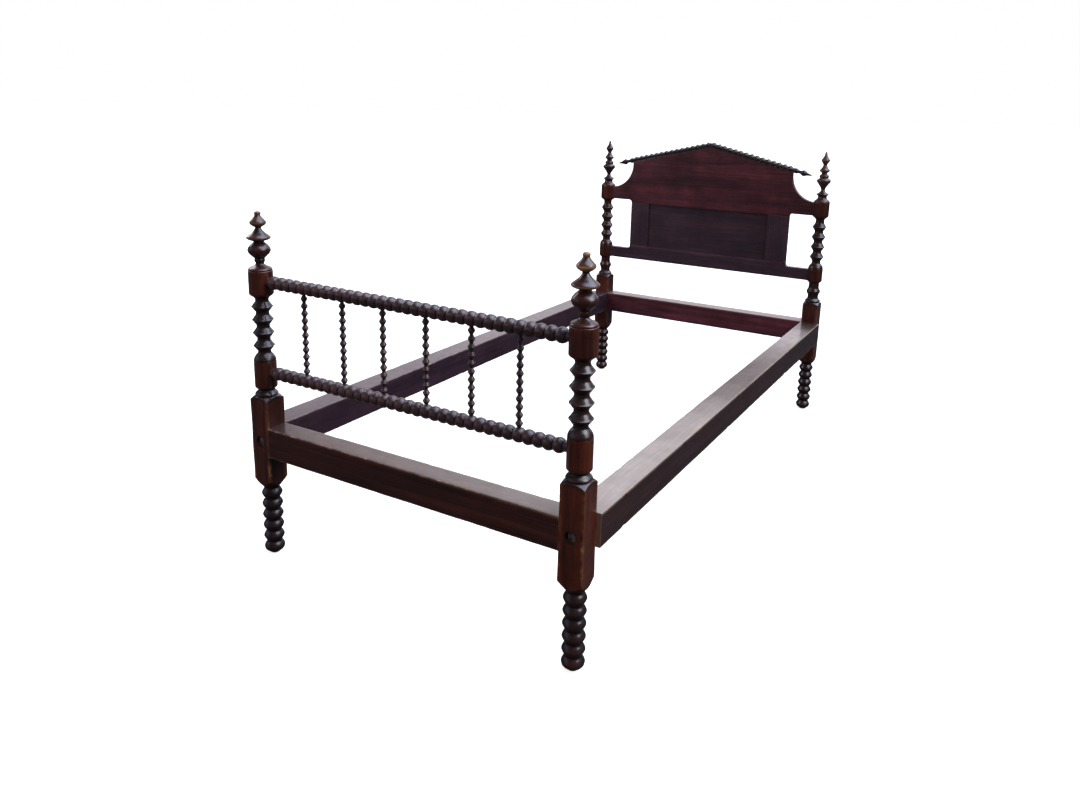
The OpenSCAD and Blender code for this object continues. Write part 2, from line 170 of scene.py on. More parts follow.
def sharp_ring(z, pitch, neck, edge):
    """A spool ring: hollow flanks that meet in a narrow edge, and a short neck."""
    return catmull([(neck, z - 0.50 * pitch), (neck + 0.4, z - 0.38 * pitch),
                    (neck + 4.0, z - 0.24 * pitch), (edge - 2.2, z - 0.075 * pitch),
                    (edge, z), (edge - 2.0, z + 0.065 * pitch),
                    (neck + 4.2, z + 0.23 * pitch), (neck + 0.5, z + 0.39 * pitch),
                    (neck, z + 0.5 * pitch)], 0.9)


def leg():
    """A small foot, six rings and the cone below the block."""
    out = [(0, 0), (11.6, 0), (12.5, 0.8), (13.0, 2.4)]
    out += catmull([(13.4, 3.2), (17.0, 5.2), (21.4, 8.6), (24.6, 12.6)], 0.8)
    for k in range(6):
        ring = round_ring(19 + k * LEG_PITCH, LEG_PITCH, 18.5, 26.0)
        out += [p for p in ring if p[1] > (14 if k == 0 else out[-1][1] + 0.2)]
    return out + catmull([(18.9, 185.8), (21.0, 189.0), (26.0, 195.0), (34.0, 205.0),
                          (41.6, 214.0)], 1.0)[1:]


def pommel():
    """The square block, and the shoulders and ring above it."""
    out = straight([(41.6, 214.0), (41.6, 300.0), (41.6, 415.0)], 12)
    out += straight([(41.6, 419.0), (41.6, 427.0)], 1.5)
    out += catmull([(41.0, 427.6), (37.0, 430.2), (33.0, 432.8), (29.6, 435.2), (26.6, 437.0),
                    (25.6, 437.8)], 0.6)
    out += catmull([(25.8, 438.4), (27.6, 439.4), (28.3, 440.6), (27.9, 442.2), (25.6, 445.2),
                    (22.4, 448.2), (20.2, 450.6), (19.8, 452.0)], 0.7)
    return out


def drum(low, high, radius, below, above):
    """A plain drum, chamfered below, with a cut line above it and then a cushion."""
    out = catmull([(below, low - 8.5), (below + 0.6, low - 6.4), (radius - 4.6, low - 4.4),
                   (radius - 3.2, low - 3.4)], 0.7)
    out += straight([(radius - 3.2, low - 3.4), (radius - 0.6, low - 0.4), (radius, low + 1.2)],
                    0.9)[1:]
    out += straight([(radius, low + 1.2), (radius, high - 2.0)], 8)[1:]
    out += [(radius - 0.3, high - 1.1), (radius - 1.8, high - 0.5), (radius - 2.1, high + 0.2),
            (radius - 0.6, high + 0.9)]
    return out + catmull([(radius - 0.3, high + 1.6), (radius - 1.4, high + 6.0),
                          (radius - 4.4, high + 12.0), (above + 3.6, high + 16.6),
                          (above + 0.7, high + 20.0), (above, high + 22.5)], 0.8)


def upper_drum(low, high, below):
    """The drum under the finial, chamfered below and flat on top."""
    out = catmull([(below, low - 14), (below + 0.8, low - 10.4), (below + 4.5, low - 6.0),
                   (26.6, low - 1.8)], 0.8)
    out += straight([(26.6, low - 1.8), (29.0, low + 1.0)], 1)[1:]
    out += straight([(UPPER_DRUM_R, low + 3.4), (UPPER_DRUM_R, high - 1.7)], 8)
    return out + [(29.1, high - 0.6), (28.2, high), (0, high)]


def foot_post_profile():
    out = leg() + pommel() + drum(460, 528, LOWER_DRUM_R, 19.8, 16.0)
    for k in range(4):
        out += [p for p in sharp_ring(567 + k * 33.3, 33.3, 16.0, 26.0) if p[1] > out[-1][1] + 0.2]
    return out + upper_drum(698, FOOT_TOP, 16.0)[1:]


def head_post_profile():
    out = leg() + pommel()
    out += catmull([(19.6, 453.0), (19.4, 458.0), (20.4, 465.0), (23.4, 472.0), (25.0, 477.0),
                    (24.8, 480.5), (22.2, 485.5), (19.8, 490.5), (19.0, 498.0), (19.0, 508.0)],
                   0.9)
    out += drum(519, 568, LOWER_DRUM_R, 19.0, 16.0)[1:]
    for k in range(4):
        out += [p for p in sharp_ring(613.5 + k * 38.2, 38.2, 16.0, 26.0)
                if p[1] > out[-1][1] + 0.2]
    return out + upper_drum(768, HEAD_TOP, 16.0)[1:]


def foot_finial_profile():
    """Heights above the joint: shoulder, neck, small ring, urn, broad disc, small disc, knob."""
    out = [(0, 0.0), (27.8, 0.0), (28.6, 1.0), (28.6, 3.2)]
    out += catmull([(28.2, 4.0), (26.4, 6.0), (21.0, 8.8), (14.8, 11.8), (10.8, 15.2),
                    (9.8, 18.2)], 0.7)
    out += catmull([(10.2, 19.4), (11.8, 21.4), (12.6, 24.0), (12.4, 26.8), (11.8, 29.0)], 0.7)
    out += catmull([(12.2, 29.8), (15.4, 33.0), (20.8, 38.0), (25.2, 43.4), (27.2, 49.2),
                    (26.4, 54.8), (22.8, 60.4), (17.8, 65.6), (13.8, 69.0)], 0.8)
    out += catmull([(12.8, 69.8), (12.4, 70.8), (13.0, 72.0)], 0.7)
    out += catmull([(14.6, 72.8), (20.4, 74.6), (25.4, 76.8), (28.2, 79.4), (28.6, 81.2),
                    (27.4, 83.4), (22.4, 87.4), (15.8, 92.6), (10.6, 98.2), (7.6, 103.0),
                    (7.1, 105.4)], 0.8)
    out += catmull([(7.8, 106.4), (12.4, 108.8), (17.2, 112.4), (19.4, 116.0), (19.4, 118.8),
                    (17.6, 122.0), (13.6, 126.2), (9.8, 130.4), (7.6, 134.0), (6.9, 136.4)], 0.7)
    out += catmull([(7.4, 137.4), (7.8, 139.4), (7.3, 141.8), (5.4, 143.8), (2.6, 144.5)], 0.6)
    return out + [(0, 144.5)]


def head_finial_profile():
    """Collar, sharp disc, thin neck, urn with a step, bead, thin neck, pointed acorn."""
    out = [(0, 0.0), (26.2, 0.0), (27.0, 1.0)]
    out += catmull([(26.6, 2.2), (23.0, 5.4), (19.0, 8.8), (16.8, 12.6), (16.2, 17.0),
                    (17.2, 20.6)], 0.7)
    out += catmull([(17.8, 21.6), (21.6, 24.4), (23.0, 26.6), (21.0, 28.4)], 0.7)
    out += catmull([(20.6, 28.8), (15.0, 32.0), (10.4, 36.0), (7.8, 41.0), (7.5, 45.0)], 0.7)
    out += catmull([(8.0, 46.6), (10.2, 51.6), (15.2, 59.6), (21.0, 67.6), (24.8, 73.4),
                    (25.5, 77.0), (24.2, 80.6), (20.4, 84.0), (17.0, 86.2)], 0.8)
    out += catmull([(15.8, 87.6), (15.8, 89.6), (17.4, 92.0), (17.5, 94.6), (15.6, 98.0),
                    (11.4, 101.6), (9.8, 104.6)], 0.7)
    out += catmull([(10.4, 105.8), (14.0, 109.0), (17.8, 112.6), (18.5, 115.2), (16.8, 118.8),
                    (12.4, 124.0), (8.6, 130.4), (7.0, 136.0)], 0.7)
    out += catmull([(7.4, 137.6), (10.4, 143.0), (14.2, 148.6), (15.5, 152.0), (14.4, 156.0),
                    (11.0, 161.0), (7.6, 167.0), (5.2, 174.0), (3.6, 181.0), (2.0, 185.4)], 0.7)
    return out + [(0, 186.0)]


# -------- turning

def frame_of(origin, axis):
    """A matrix whose z runs along the axis, and the origin as an array."""
    z = Vector(axis).normalized()
    turn = z.to_track_quat("Z", "X").to_matrix()
    if abs(z.z) > 0.999:
        turn = Matrix.Identity(3) if z.z > 0 else Matrix.Rotation(math.pi, 3, "X")
    return np.array(turn), np.array(origin, float)


def crown_of(profile):
    """How each point stands out: 1 on a crest, 0.5 on a plain, 0 in a groove."""
    radius = np.array([p[0] for p in profile])
    run = np.concatenate([[0], np.cumsum([math.dist(a, b) for a, b in
                                          zip(profile[:-1], profile[1:])])])
    spots = np.arange(0, run[-1], 0.5)
    level = np.interp(spots, run, radius)
    wide = np.ones(21) / 21
    mean = np.convolve(np.pad(level, 10, mode="edge"), wide, mode="valid")
    return np.clip(0.5 + (radius - np.interp(run, spots, mean)) / 2.6, 0, 1)


def square_radius(theta, half, corner):
    """Distance from the centre to a square with rounded corners, in the direction theta."""
    c, s = np.abs(np.cos(theta)), np.abs(np.sin(theta))
    big, small = np.maximum(c, s), np.minimum(c, s)
    flat = half / big
    k = half - corner
    b = k * (big + small)
    inside = b * b - (2 * k * k - corner * corner)
    arc = b + np.sqrt(np.maximum(inside, 0.0))
    return np.where(flat * small > k, arc, flat)


CORNER_REACH = 1.3836                  # a softened corner's distance, over half the square


def turned(name, profile, origin, sides, axis=(0, 0, 1), square=None, wobble=0.12,
           cut=None, stain_and_shade=None, bared=None):
    """A lathe mesh. square=(low, high) keeps square stock between two heights.

    Every vertex keeps its place in the log as the vector attribute grain and its closeness to a
    crest as crown. cut=(point, normal) cuts it at a plane. stain_and_shade and bared are lists of
    (height, amount); stain_and_shade is black stain, and on the head posts partly painted shade."""
    rng = random_for(name)
    profile = [p for i, p in enumerate(profile)
               if i == 0 or math.dist(p, profile[i - 1]) > 1e-4]
    crown = crown_of(profile)
    theta = np.arange(sides) * (2 * math.pi / sides)
    if square:
        extra = [q * math.pi / 2 + math.pi / 4 + d for q in range(4)
                 for d in (-0.050, -0.030, -0.012, 0.012, 0.030, 0.050)]
        theta = np.sort(np.concatenate([theta, extra]))
    sides = len(theta)
    turn, start = frame_of(origin, axis)
    wander = rng.uniform(0, 2 * math.pi, 4)
    points, crowns, edges = [], [], []
    rings = profile[1:-1]                  # the first and last points lie on the axis
    for (radius, height), c in zip(rings, crown[1:-1]):
        out = radius + wobble * c * np.sin(2 * theta + wander[0] + height * 0.021)
        out = out + wobble * 0.6 * c * np.sin(3 * theta + wander[1] - height * 0.034)
        edge = np.zeros(sides)
        if square and square[0] <= height <= square[1]:
            corner = 1.6 + 0.9 * math.sin(height * 0.05 + wander[2])
            limit = square_radius(theta, HALF_B, corner)
            reach = limit / (HALF_B * CORNER_REACH)
            edge = np.where(out > limit, smooth_step(0.80, 0.98, reach), 0)
            out = np.minimum(radius, limit)
        x, y = out * np.cos(theta), out * np.sin(theta)
        local = np.stack([x, y, np.full(sides, height)], 1)
        points.append(local)
        crowns.append(np.full(sides, c))
        edges.append(edge)
    points = np.concatenate(points)
    crowns = np.concatenate(crowns)
    edges = np.concatenate(edges)
    faces = []
    n = len(rings)
    index = np.arange(sides)
    nxt = (index + 1) % sides
    for i in range(n - 1):
        a, b = i * sides, (i + 1) * sides
        faces += [(a + j, a + k, b + k, b + j) for j, k in zip(index.tolist(), nxt.tolist())]
    low, top, a = len(points), len(points) + 1, (n - 1) * sides
    points = np.concatenate([points, [[0, 0, profile[0][1]], [0, 0, profile[-1][1]]]])
    faces += [(low, k, j) for j, k in zip(index.tolist(), nxt.tolist())]
    faces += [(top, a + j, a + k) for j, k in zip(index.tolist(), nxt.tolist())]
    crowns = np.concatenate([crowns, np.zeros(2)])
    edges = np.concatenate([edges, np.zeros(2)])
    world = points @ turn.T + start
    mesh = make_mesh(name, world, faces)
    shift = rng.uniform(-1, 1, 3) * np.array([14, 14, 400])
    write_attribute(mesh, "grain", (points + shift) * MM)
    write_attribute(mesh, "crown", crowns)
    write_attribute(mesh, "edge", edges)
    if bared:
        write_attribute(mesh, "bared", np.interp(points[:, 2], *zip(*bared)))
    if stain_and_shade:
        write_attribute(mesh, "stain_and_shade", np.interp(points[:, 2], *zip(*stain_and_shade)))
    if cut:
        cut_mesh(mesh, *cut)
    soften(mesh, TURNED_ANGLE)
    return mesh


def cut_mesh(mesh, point, normal):
    """Cuts away what lies on the normal's side of a plane, and closes the cut."""
    bm = bmesh.new()
    bm.from_mesh(mesh)
    result = bmesh.ops.bisect_plane(
        bm, geom=bm.verts[:] + bm.edges[:] + bm.faces[:], dist=1e-7,
        plane_co=Vector(point) * MM, plane_no=Vector(normal), clear_outer=True)
    rim = [e for e in result["geom_cut"] if isinstance(e, bmesh.types.BMEdge)]
    bmesh.ops.contextual_create(bm, geom=rim)
    bm.to_mesh(mesh)
    bm.free()


def boolean_cut(piece, cutter):
    """Cuts a closed mesh out of a piece, and leaves nothing of the cutter behind."""
    tool = bpy.data.objects.new("cutter", cutter)
    bpy.context.scene.collection.objects.link(tool)
    modifier = piece.modifiers.new("cut", "BOOLEAN")
    modifier.operation = "DIFFERENCE"
    modifier.solver = "EXACT"
    modifier.object = tool
    graph = bpy.context.evaluated_depsgraph_get()
    whole = piece.data
    result = bpy.data.meshes.new_from_object(piece.evaluated_get(graph))
    piece.modifiers.clear()
    piece.data = result
    bpy.data.meshes.remove(whole)
    bpy.data.objects.remove(tool)
    bpy.data.meshes.remove(cutter)
    result.name = piece.name


def plug_mesh(radius, start, end):
    """A closed cylinder between two points."""
    sides = 48
    start, end = Vector(start), Vector(end)
    turn, origin = frame_of(start, end - start)
    length = (end - start).length
    points, faces = [], []
    for h in (0.0, length):
        for j in range(sides):
            a = 2 * math.pi * j / sides
            points.append([radius * math.cos(a), radius * math.sin(a), h])
    for j in range(sides):
        k = (j + 1) % sides
        faces.append((j, k, sides + k, sides + j))
    faces.append(tuple(range(sides - 1, -1, -1)))
    faces.append(tuple(range(sides, 2 * sides)))
    return make_mesh("cutter", np.array(points) @ turn.T + origin, faces)


# -------- worn timber, from a box

STATION_STEP = 14.0                    # between cross-sections along a timber
END_LIP = 0.6                          # the last stretch at each end, which shades as end grain
CORNER_STEPS = 4


def timber(name, low, high, along, chips=1.0, round_mm=1.8, top_sheen=None):
    """A planed timber with softened, uneven arrises. along is 0, 1 or 2, the grain's direction.

    top_sheen is a list of (place along it, amount) of painted sky reflection, which pales its top."""
    rng = random_for(name)
    low, high = np.array(low, float), np.array(high, float)
    size = high - low
    u_axis, v_axis = [i for i in range(3) if i != along]
    if along == 1:
        u_axis, v_axis = 2, 0
    length, width, depth = size[along], size[u_axis], size[v_axis]
    count = max(8, int(length / STATION_STEP))
    stations = np.linspace(0, 1, count + 1)
    lip = END_LIP / length
    stations = np.concatenate([[0, lip], stations[1:-1], [1 - lip, 1]])
    corner_seed = rng.uniform(0, 50)
    rings, edge_rings = [], []
    for s in stations:
        pos = s * length
        ring, edge = [], []
        for q, (cx, cy) in enumerate([(1, 1), (-1, 1), (-1, -1), (1, -1)]):
            wave = noise.noise(Vector((pos * 0.012, corner_seed + q * 9.0, 0.3)))
            chip = max(0.0, noise.noise(Vector((pos * 0.045, corner_seed + q * 9.0, 4.3))) - 0.34)
            r = round_mm * (1.0 + 0.6 * wave) + chips * chip * 9.0
            kx, ky = width / 2 - r, depth / 2 - r
            for j in range(CORNER_STEPS + 1):
                a = (q + j / CORNER_STEPS) * math.pi / 2
                ring.append((cx * kx + r * math.cos(a), cy * ky + r * math.sin(a)))
                edge.append(1.0 if 0 < j < CORNER_STEPS else 0.75)
            # three points on the flat face towards the next corner
            a = (q + 1) * math.pi / 2
            ca, sa = round(math.cos(a)), round(math.sin(a))
            for part in (1, 0, -1):
                if sa:
                    ring.append((part * cx * max(width / 2 - 8, 2), sa * depth / 2))
                else:
                    ring.append((ca * width / 2, part * cy * max(depth / 2 - 8, 2)))
                edge.append(0.0)
        rings.append(ring)
        edge_rings.append(edge)
    per = len(rings[0])
    points = np.zeros((len(stations) * per, 3))
    edges = np.zeros(len(points))
    centre = (low + high) / 2
    for i, s in enumerate(stations):
        block = points[i * per:(i + 1) * per]
        ring = np.array(rings[i])
        block[:, along] = low[along] + s * length
        block[:, u_axis] = centre[u_axis] + ring[:, 0]
        block[:, v_axis] = centre[v_axis] + ring[:, 1]
        edges[i * per:(i + 1) * per] = edge_rings[i]
    faces = []
    for i in range(len(stations) - 1):
        for j in range(per):
            k = (j + 1) % per
            faces.append((i * per + j, i * per + k, (i + 1) * per + k, (i + 1) * per + j))
    faces.append(tuple(range(per - 1, -1, -1)))
    faces.append(tuple(range((len(stations) - 1) * per, len(stations) * per)))
    mesh = make_mesh(name, points, faces)
    finish_timber(mesh, points, edges, along, rng)
    ends = (points[:, along] < low[along] + 0.1) | (points[:, along] > high[along] - 0.1)
    write_attribute(mesh, "bared", np.where(ends, 0.90, 0.0))
    # painted reflection: the top face pales by place along the timber
    if top_sheen:
        top = smooth_step(high[2] - 3.0, high[2] - 0.5, points[:, 2])
        write_attribute(mesh, "top_sheen", top * np.interp(points[:, along], *zip(*top_sheen)))
    return mesh


def finish_timber(mesh, points, edges, along, rng):
    """Outward faces, the attributes that the wood shader reads, and smooth shading."""
    bm = bmesh.new()
    bm.from_mesh(mesh)
    bmesh.ops.recalc_face_normals(bm, faces=bm.faces)
    bm.to_mesh(mesh)
    bm.free()
    order = {0: [1, 2, 0], 1: [0, 2, 1], 2: [0, 1, 2]}[along]
    shift = rng.uniform(-1, 1, 3) * np.array([60, 60, 400])
    write_attribute(mesh, "grain", (points[:, order] + shift) * MM)
    write_attribute(mesh, "crown", np.full(len(points), 0.5))
    write_attribute(mesh, "edge", edges)
    soften(mesh, SAWN_ANGLE)


def on_broad_face(face):
    return abs(face.normal.y) > 0.5


BOARD_ROUND = 1.2                      # how far a board's arrises are softened


def flat_board(name, outline, y_low, y_high):
    """A board cut to an outline in the XZ plane, with softened arrises and its grain along X."""
    rng = random_for(name)
    bm = bmesh.new()
    front = [bm.verts.new((x * MM, y_low * MM, z * MM)) for x, z in outline]
    face = bm.faces.new(front)
    made = bmesh.ops.extrude_face_region(bm, geom=[face])
    moved = [v for v in made["geom"] if isinstance(v, bmesh.types.BMVert)]
    bmesh.ops.translate(bm, verts=moved, vec=(0, (y_high - y_low) * MM, 0))
    bmesh.ops.recalc_face_normals(bm, faces=bm.faces)
    rim = [e for e in bm.edges
           if len(e.link_faces) == 2
           and sum(abs(f.normal.y) for f in e.link_faces) > 0.5
           and not all(on_broad_face(f) for f in e.link_faces)]
    bmesh.ops.bevel(bm, geom=rim, offset=BOARD_ROUND * MM, segments=3, profile=0.5,
                    affect="EDGES", clamp_overlap=True)
    broad = [f for f in bm.faces if abs(f.normal.y) > 0.99 and f.calc_area() > 0.002]
    for f in broad:
        bmesh.ops.inset_region(bm, faces=[f], thickness=5.0 * MM, use_even_offset=True)
    bm.verts.ensure_lookup_table()
    edge = np.zeros(len(bm.verts))
    for v in bm.verts:
        corner = any(abs(f.normal.y) < 0.9 for f in v.link_faces)
        edge[v.index] = 1.0 if corner else 0.0
    mesh = bpy.data.meshes.new(name)
    bm.to_mesh(mesh)
    bm.free()
    points = np.array([v.co for v in mesh.vertices]) / MM
    shift = rng.uniform(-1, 1, 3) * np.array([60, 60, 400])
    write_attribute(mesh, "grain", (points[:, [1, 2, 0]] + shift) * MM)
    write_attribute(mesh, "crown", np.full(len(points), 0.5))
    write_attribute(mesh, "edge", edge)
    soften(mesh, BOARD_ANGLE)
    return mesh


# -------- materials

class Shader:
    """A short way to write node trees."""

    def __init__(self, name):
        self.material = bpy.data.materials.new(name)
        self.material.use_nodes = True
        self.tree = self.material.node_tree
        self.bsdf = self.tree.nodes["Principled BSDF"]

    def put(self, socket, value):
        if isinstance(value, bpy.types.NodeSocket):
            self.tree.links.new(value, socket)
        elif value is not None:
            socket.default_value = value

    def node(self, kind, inputs=(), out=0, **settings):
        node = self.tree.nodes.new(kind)
        for key, value in settings.items():
            setattr(node, key, value)
        items = inputs.items() if isinstance(inputs, dict) else enumerate(inputs)
        for key, value in items:
            self.put(node.inputs[key], value)
        return node.outputs[out]

    def attribute(self, name, vector=False):
        return self.node("ShaderNodeAttribute", out="Vector" if vector else "Fac",
                         attribute_name=name, attribute_type="GEOMETRY")

    def math(self, operation, a, b=None, clamp=False):
        return self.node("ShaderNodeMath", [a, b], operation=operation, use_clamp=clamp)

    def ramp(self, value, low, high, a=0.0, b=1.0):
        return self.node("ShaderNodeMapRange", {"Value": value, "From Min": low, "From Max": high,
                                                "To Min": a, "To Max": b}, clamp=True)

    def noise(self, vector, scale, detail=4.0, rough=0.55, distortion=0.0):
        return self.node("ShaderNodeTexNoise", {"Vector": vector, "Scale": scale, "Detail": detail,
                                                "Roughness": rough, "Distortion": distortion})

    def stretch(self, vector, scale):
        return self.node("ShaderNodeMapping", {"Vector": vector, "Scale": scale})

    def mix(self, factor, a, b):
        node = self.tree.nodes.new("ShaderNodeMix")
        node.data_type = "RGBA"
        self.put(node.inputs[0], factor)
        self.put(node.inputs[6], a)
        self.put(node.inputs[7], b)
        return node.outputs[2]


BLACK_STAIN_AND_SHADE = (0.0066, 0.0064, 0.0090, 1)
# pale tone of the painted sky reflection on the rails' tops
SHEEN_TONE = (0.43, 0.365, 0.315, 1)
# near black of the painted shade in the grooves
GROOVE_SHADE = (0.010, 0.007, 0.007, 1)


def wood(name, dark, warm, worn, bare, edge_wear, groove_shade, crown_wear=0.5,
         rough=(0.30, 0.55), cloudy=0.36, ringed=0.18, coat=(0.75, 0.20),
         raw_tone=(0.30, 0.155, 0.080)):
    """Stained and varnished wood, worn through on crests and arrises, with painted shade in the
    grooves; on the bobbins the crests also carry a painted highlight.
    """
    s = Shader(name)
    place = s.attribute("grain", vector=True)
    crown = s.attribute("crown")
    edge = s.attribute("edge")
    world = s.node("ShaderNodeTexCoord", out="Object")

    # figure: long streaks, growth rings and fine pores, all running along the timber
    broad = s.noise(s.stretch(place, (22, 22, 1.6)), 1.0, 3, 0.6, 0.6)
    fine = s.noise(s.stretch(place, (260, 260, 9)), 1.0, 4, 0.62)
    pores = s.noise(s.stretch(place, (900, 900, 28)), 1.0, 2, 0.5)
    rings = s.node("ShaderNodeTexWave", {"Vector": s.stretch(place, (1, 1, 0.06)), "Scale": 34.0,
                                         "Distortion": 3.2, "Detail": 2.0, "Detail Scale": 1.4},
                   wave_type="RINGS", rings_direction="Z", wave_profile="SAW", out="Fac")
    figure = s.math("ADD", s.math("MULTIPLY", broad, 0.55), s.math("MULTIPLY", fine, 0.35))
    figure = s.math("ADD", figure, s.math("MULTIPLY", rings, ringed))
    colour = s.mix(s.ramp(figure, 0.36, 0.74), (*dark, 1), (*warm, 1))
    pore = s.ramp(pores, 0.56, 0.68)
    colour = s.mix(s.math("MULTIPLY", pore, 0.45), colour, (*[0.35 * c for c in dark], 1))

    # cloudy unevenness of the old varnish
    cloud = s.noise(world, 9.0, 4, 0.6)
    colour = s.mix(s.ramp(cloud, 0.35, 0.7, 0.0, cloudy), colour,
                   (*[0.45 * c for c in dark], 1))

    # black stain on the turned parts; on the head posts' legs and blocks, and on the gable's top
    # edge under the trim, the same black is painted shade
    black = s.math("MULTIPLY", s.attribute("stain_and_shade"), s.ramp(broad, 0.25, 0.75, 0.95, 0.75))
    colour = s.mix(black, colour, BLACK_STAIN_AND_SHADE)

    # painted reflection: tops pale where they would mirror the bright sky, broken along the grain
    sheen = s.math("MULTIPLY", s.attribute("top_sheen"), s.ramp(fine, 0.30, 0.66, 1.0, 0.72))
    sheen = s.math("MULTIPLY", sheen, s.ramp(cloud, 0.30, 0.72, 1.0, 0.66))
    colour = s.mix(sheen, colour, SHEEN_TONE)

    # wood rubbed bare
    patch = s.noise(world, 60.0, 5, 0.65)
    raw = s.math("MULTIPLY", s.attribute("bared"), s.ramp(patch, 0.34, 0.62, 0.55, 1.0))
    colour = s.mix(raw, colour, (*raw_tone, 1))

    # lighter on crests and arrises, broken up by noise: wear, and on the bobbins' beads partly a
    # painted highlight on each crest
    spot = s.noise(world, 15.0, 3, 0.6)
    broken = s.math("ADD", s.math("MULTIPLY", patch, 0.6), s.math("MULTIPLY", spot, 0.5))
    crest = s.math("MULTIPLY", s.ramp(crown, 0.80, 1.0), s.ramp(broken, 0.44, 0.66))
    crest = s.math("MULTIPLY", crest, crown_wear)
    crest = s.math("MULTIPLY", crest, s.ramp(black, 0.3, 0.85, 1.0, 0.15))
    colour = s.mix(crest, colour, (*worn, 1))
    arris = s.math("MULTIPLY", s.ramp(edge, 0.42, 1.0), s.ramp(broken, 0.46, 0.66))
    arris = s.math("MULTIPLY", arris, edge_wear)
    colour = s.mix(arris, colour, (*worn, 1))
    chip = s.math("MULTIPLY", s.ramp(edge, 0.75, 1.0), s.ramp(broken, 0.66, 0.72))
    colour = s.mix(s.math("MULTIPLY", chip, edge_wear), colour, (*bare, 1))

    # painted shade: the grooves darkened towards near black
    groove = s.math("MULTIPLY", s.ramp(crown, 0.42, 0.05), groove_shade)
    colour = s.mix(groove, colour, GROOVE_SHADE)

    s.put(s.bsdf.inputs["Base Color"], colour)
    haze = s.noise(world, 38.0, 4, 0.6)
    roughness = s.ramp(haze, 0.35, 0.68, rough[0], rough[1])
    roughness = s.math("ADD", roughness, s.math("MULTIPLY", crest, 0.2))
    roughness = s.math("ADD", roughness, s.math("MULTIPLY", groove, 0.15), clamp=True)
    s.put(s.bsdf.inputs["Roughness"], roughness)
    s.bsdf.inputs["IOR"].default_value = 1.5
    s.bsdf.inputs["Specular IOR Level"].default_value = 0.18
    s.bsdf.inputs["Coat Weight"].default_value = coat[0]
    s.bsdf.inputs["Coat Roughness"].default_value = coat[1]
    s.bsdf.inputs["Coat IOR"].default_value = 1.5

    height = s.math("ADD", s.math("MULTIPLY", fine, 0.5), s.math("MULTIPLY", pore, -0.5))
    height = s.math("ADD", height, s.math("MULTIPLY", patch, 0.4))
    bump = s.node("ShaderNodeBump", {"Strength": 0.35, "Distance": 0.0006, "Height": height},
                  out="Normal")
    dent = s.noise(world, 22.0, 2, 0.5)
    bump = s.node("ShaderNodeBump", {"Strength": 0.25, "Distance": 0.0025, "Height": dent,
                                     "Normal": bump}, out="Normal")
    s.put(s.bsdf.inputs["Normal"], bump)
    return s.material


def forged_iron(name, tint):
    s = Shader(name)
    world = s.node("ShaderNodeTexCoord", out="Object")
    grains = s.noise(world, 420.0, 5, 0.7)
    rust = s.noise(world, 130.0, 4, 0.6)
    colour = s.mix(s.ramp(rust, 0.46, 0.64), (*tint, 1), (0.11, 0.045, 0.02, 1))
    s.put(s.bsdf.inputs["Base Color"], colour)
    s.bsdf.inputs["Metallic"].default_value = 0.75
    s.put(s.bsdf.inputs["Roughness"], s.ramp(grains, 0.3, 0.7, 0.38, 0.72))
    bump = s.node("ShaderNodeBump", {"Strength": 0.5, "Distance": 0.0004, "Height": grains},
                  out="Normal")
    s.put(s.bsdf.inputs["Normal"], bump)
    return s.material


POST = wood("post_wood", dark=(0.016, 0.0046, 0.0030), warm=(0.122, 0.0230, 0.0080),
            worn=(0.15, 0.052, 0.020), bare=(0.27, 0.14, 0.070), crown_wear=0.20, edge_wear=0.7,
            groove_shade=0.9, cloudy=0.5)
# its pale crest colour is partly wear, partly a painted highlight on each bead's crest
BOBBIN = wood("bobbin_wood", dark=(0.014, 0.009, 0.011), warm=(0.088, 0.041, 0.041),
              worn=(0.21, 0.118, 0.098), bare=(0.36, 0.26, 0.20), crown_wear=0.60, edge_wear=0.5,
              groove_shade=0.97, coat=(0.85, 0.30))
TRIM = wood("trim_wood", dark=(0.008, 0.0055, 0.0065), warm=(0.030, 0.0160, 0.0160),
            worn=(0.10, 0.06, 0.045), bare=(0.30, 0.2, 0.15), crown_wear=0.35, edge_wear=0.4,
            groove_shade=0.97, coat=(0.6, 0.26))
SAWN = {"groove_shade": 0.0, "rough": (0.32, 0.52)}
RAIL = wood("rail_wood", dark=(0.014, 0.0048, 0.0038), warm=(0.068, 0.0175, 0.0125),
            worn=(0.24, 0.140, 0.085), bare=(0.52, 0.39, 0.26), edge_wear=0.85, groove_shade=0.0,
            rough=(0.30, 0.50), ringed=0.12)
SIDE = wood("side_wood", dark=(0.014, 0.0062, 0.0058), warm=(0.050, 0.0190, 0.0170),
            worn=(0.30, 0.195, 0.125), bare=(0.60, 0.46, 0.30), edge_wear=0.95, groove_shade=0.0,
            rough=(0.34, 0.54), ringed=0.12, raw_tone=(0.66, 0.30, 0.22))
# the left side rail: a mauve, blue-violet copy of the side rails' wood, tinted as painted sky
# reflection and shade
MAUVE = wood("far_side_wood", dark=(0.020, 0.0110, 0.0180), warm=(0.078, 0.0320, 0.0500),
             worn=(0.22, 0.14, 0.11), bare=(0.50, 0.38, 0.26), edge_wear=0.7, cloudy=0.5,
             ringed=0.06, **SAWN)
HEAD = wood("head_rail_wood", dark=(0.038, 0.0130, 0.0200), warm=(0.220, 0.0500, 0.0800),
            worn=(0.18, 0.09, 0.07), bare=(0.36, 0.24, 0.18), edge_wear=0.5, cloudy=0.6,
            ringed=0.05, **SAWN)
BOARDS = {"groove_shade": 0.0, "rough": (0.34, 0.54), "ringed": 0.04}
BOARD = wood("board_wood", dark=(0.034, 0.0120, 0.0175), warm=(0.170, 0.0390, 0.0540),
             worn=(0.14, 0.06, 0.045), bare=(0.32, 0.18, 0.12), edge_wear=0.20, cloudy=0.70,
             **BOARDS)
